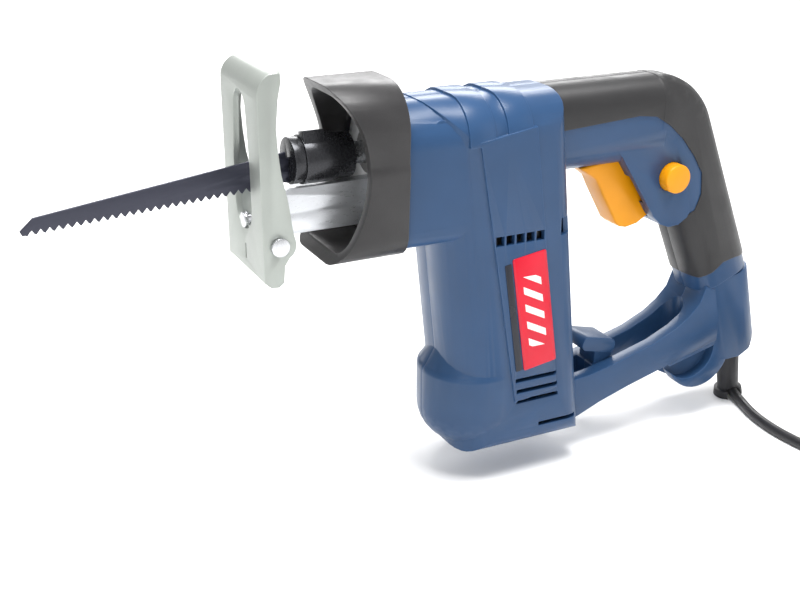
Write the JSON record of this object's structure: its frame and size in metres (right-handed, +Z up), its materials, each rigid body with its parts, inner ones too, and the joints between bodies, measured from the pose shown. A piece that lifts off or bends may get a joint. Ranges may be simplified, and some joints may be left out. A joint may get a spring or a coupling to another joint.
{
  "type": "reciprocating saw",
  "caption": "Compact corded reciprocating saw: upright motor, D-handle with trigger and lock button, pivoting shoe and keyless blade clamp on a sliding plunger.",
  "frame": {"origin": "centre of the saw's bounding box in X and Y, at the foot of the cord guard, which is the saw's lowest point", "axes": "-X along the blade, +X towards the handle, +Z up along the motor, -Y the side of the lock button"},
  "size_m": [0.542, 0.1927, 0.2492],
  "materials": {
    "shell": "fine moulded texture",
    "grip": "soft satin",
    "screw": "satin",
    "boot": "matt",
    "casting": "as cast",
    "bronze": "sintered",
    "bar": "zinc plated",
    "steel": "ground",
    "lamination": "laminated",
    "copper": "enamelled wire",
    "carbon": "matt",
    "black_plastic": "matt",
    "label_red": "gloss",
    "label_black": "gloss",
    "guard": "matt",
    "cord": "satin",
    "clamp_black": "black oxide",
    "blade": "blued",
    "shoe_alloy": "die cast",
    "control_yellow": "satin"
  },
  "bodies": {
    "body": {"housing_left": "shell", "housing_right": "shell", "grip_left": "grip", "grip_right": "grip", "housing_screws": "screw", "rubber_boot": "boot", "gear_case": "casting", "front_bushing": "bronze", "rear_bushing": "bronze", "plunger_seal": "boot", "support_bar": "bar", "bar_screws": "screw", "gear_bearing": "bronze", "upper_bearing": "steel", "lower_bearing": "steel", "stator_core": "lamination", "field_coils": "copper", "brush_holders": "bronze", "carbon_brushes": "carbon", "brush_springs": "steel", "switch_body": "black_plastic", "trigger_spring": "steel", "button_spring": "steel", "capacitor": "black_plastic", "label_plate": "label_red", "label_strip": "label_black", "key_clip": "shell", "cord_guard": "guard", "cord_clamp": "black_plastic", "clamp_screws": "screw", "cord_run": "cord", "cord_coil": "cord", "cord_tail": "cord", "plug_body": "cord", "plug_pins": "bronze"},
    "plunger_group": {"plunger": "steel", "yoke": "steel", "clamp_body": "clamp_black", "clamp_pin": "steel", "clamp_spring": "steel", "saw_blade": "blade"},
    "collar": {"clamp_collar": "clamp_black"},
    "shoe_group": {"shoe": "shoe_alloy", "shoe_pin": "steel", "shoe_screw": "steel"},
    "crank": {"crank_gear": "steel"},
    "roller": {"crank_roller": "steel"},
    "armature": {"motor_shaft": "steel", "armature_core": "lamination", "armature_windings": "copper", "commutator": "copper", "fan": "black_plastic"},
    "trigger_body": {"trigger": "control_yellow"},
    "button_body": {"lock_button": "control_yellow"}
  },
  "joints": [
    {"name": "plunger_slide", "type": "slide", "parent": "body", "child": "plunger_group", "axis": [1, 0, 0], "range_m": [-0.0095, 0.0095]},
    {"name": "collar_turn", "type": "hinge", "parent": "plunger_group", "child": "collar", "pos_m": [-0.08, 0, 0.198], "axis": [1, 0, 0], "range_deg": [0, 60], "stiffness_Nm_per_rad": 0.08, "springref_deg": -17.19},
    {"name": "shoe_tilt", "type": "hinge", "parent": "body", "child": "shoe_group", "pos_m": [-0.107, 0, 0.163], "axis": [0, 1, 0], "range_deg": [-30, 8]},
    {"name": "armature_spin", "type": "hinge", "parent": "body", "child": "armature", "pos_m": [0.03, 0, 0.1], "axis": [0, 0, 1], "continuous": true},
    {"name": "crank_spin", "type": "hinge", "parent": "body", "child": "crank", "pos_m": [0.003, 0, 0.15], "axis": [0, 0, 1], "continuous": true},
    {"name": "roller_spin", "type": "hinge", "parent": "crank", "child": "roller", "pos_m": [0.003, -0.0095, 0.168], "axis": [0, 0, 1], "continuous": true},
    {"name": "trigger_pull", "type": "slide", "parent": "body", "child": "trigger_body", "axis": [0.9061, 0, 0.423], "range_m": [0, 0.006], "stiffness_N_per_m": 900, "springref_m": -0.004},
    {"name": "button_push", "type": "slide", "parent": "body", "child": "button_body", "axis": [0, 1, 0], "range_m": [0, 0.003], "stiffness_N_per_m": 1200, "springref_m": -0.002}
  ],
  "couplings": [
    {"joint": "crank_spin", "follows": "armature_spin", "ratio": -0.25}
  ]
}
